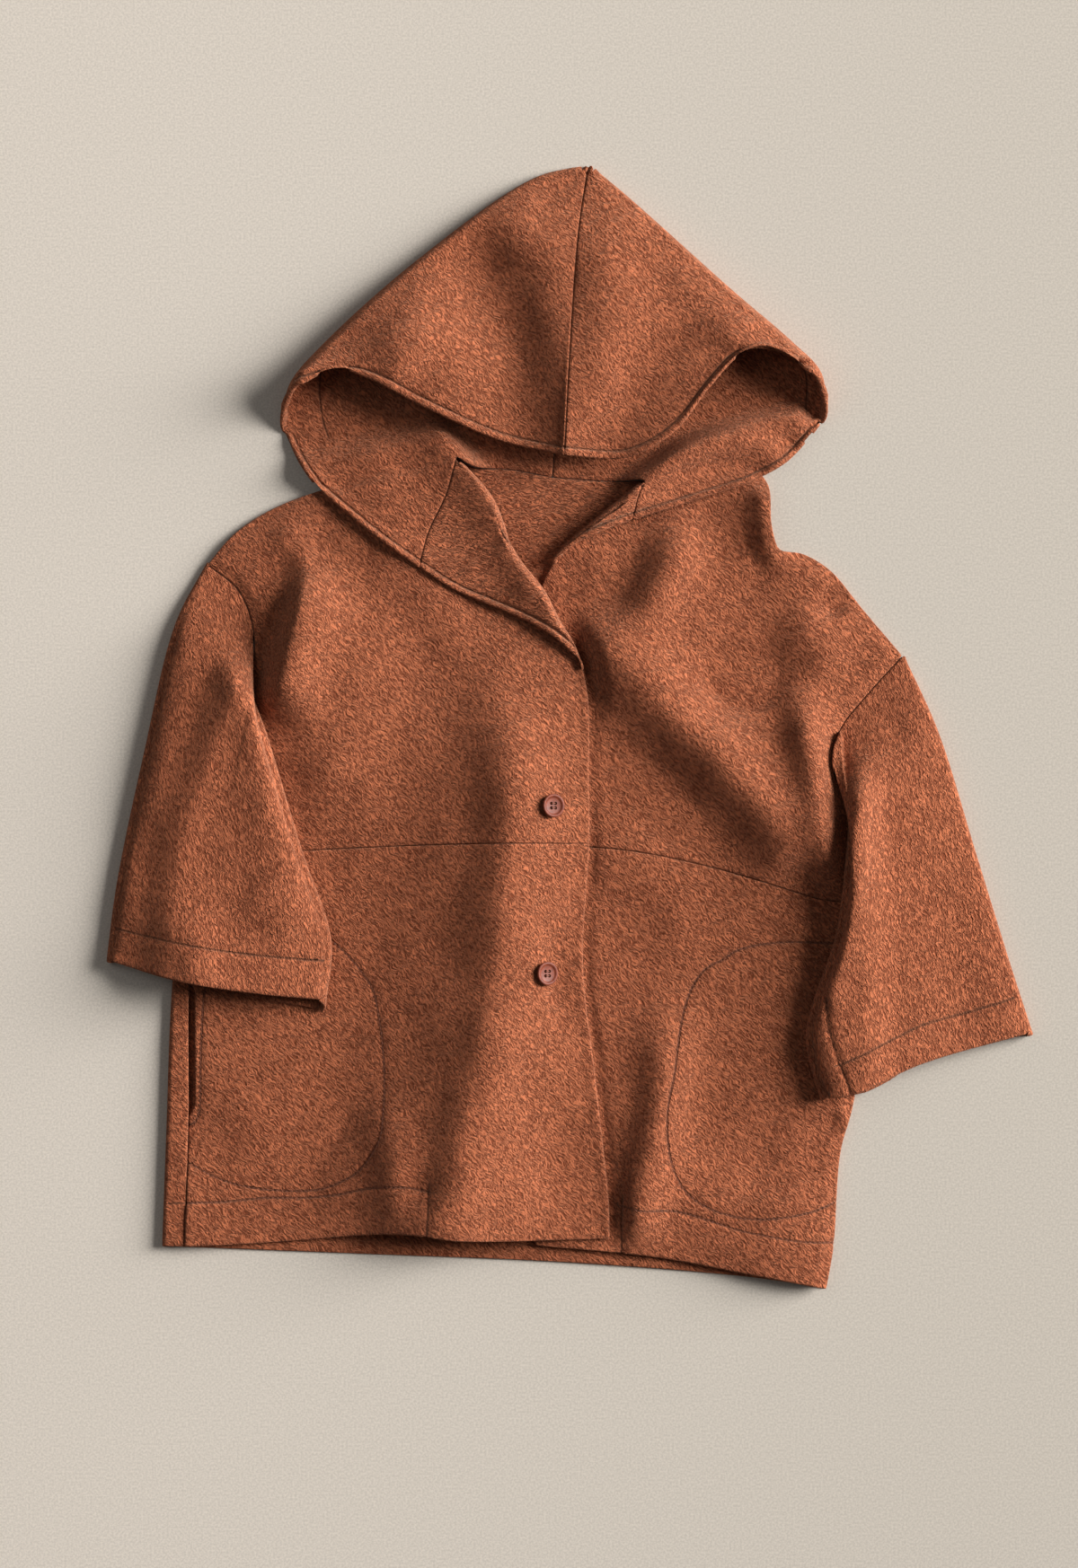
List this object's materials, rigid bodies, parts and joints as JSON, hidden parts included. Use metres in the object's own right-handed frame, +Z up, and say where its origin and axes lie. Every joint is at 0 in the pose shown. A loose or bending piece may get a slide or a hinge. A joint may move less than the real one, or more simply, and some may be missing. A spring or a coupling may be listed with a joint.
{
  "type": "boiled wool coat",
  "caption": "Hooded coat of boiled wool, laid flat with its fronts lapped and buttoned and its hood turned forward.",
  "frame": {"origin": "centre of the bounding box in X and Y, on the surface that the coat lies on", "axes": "+X to the wearer's left, +Y up the coat to its hood, +Z up off the surface"},
  "size_m": [0.7, 0.8496, 0.0354],
  "materials": {
    "wool": "matt felted boiled wool, rust brown",
    "wool_inside": "matt felted boiled wool, inner face, rust brown",
    "button": "satin red-brown resin"
  },
  "bodies": {
    "root": {"back_upper": "wool", "back_lower": "wool", "front_upper_r": "wool", "front_upper_l": "wool", "front_lower_r": "wool", "front_lower_l": "wool", "lapel_r": "wool_inside", "lapel_l": "wool_inside", "sleeve_r": "wool", "sleeve_l": "wool", "hood_r": "wool", "hood_l": "wool", "pocket_bag_r": "wool_inside", "pocket_bag_l": "wool_inside", "button_upper": "button", "button_lower": "button"}
  },
  "joints": []
}
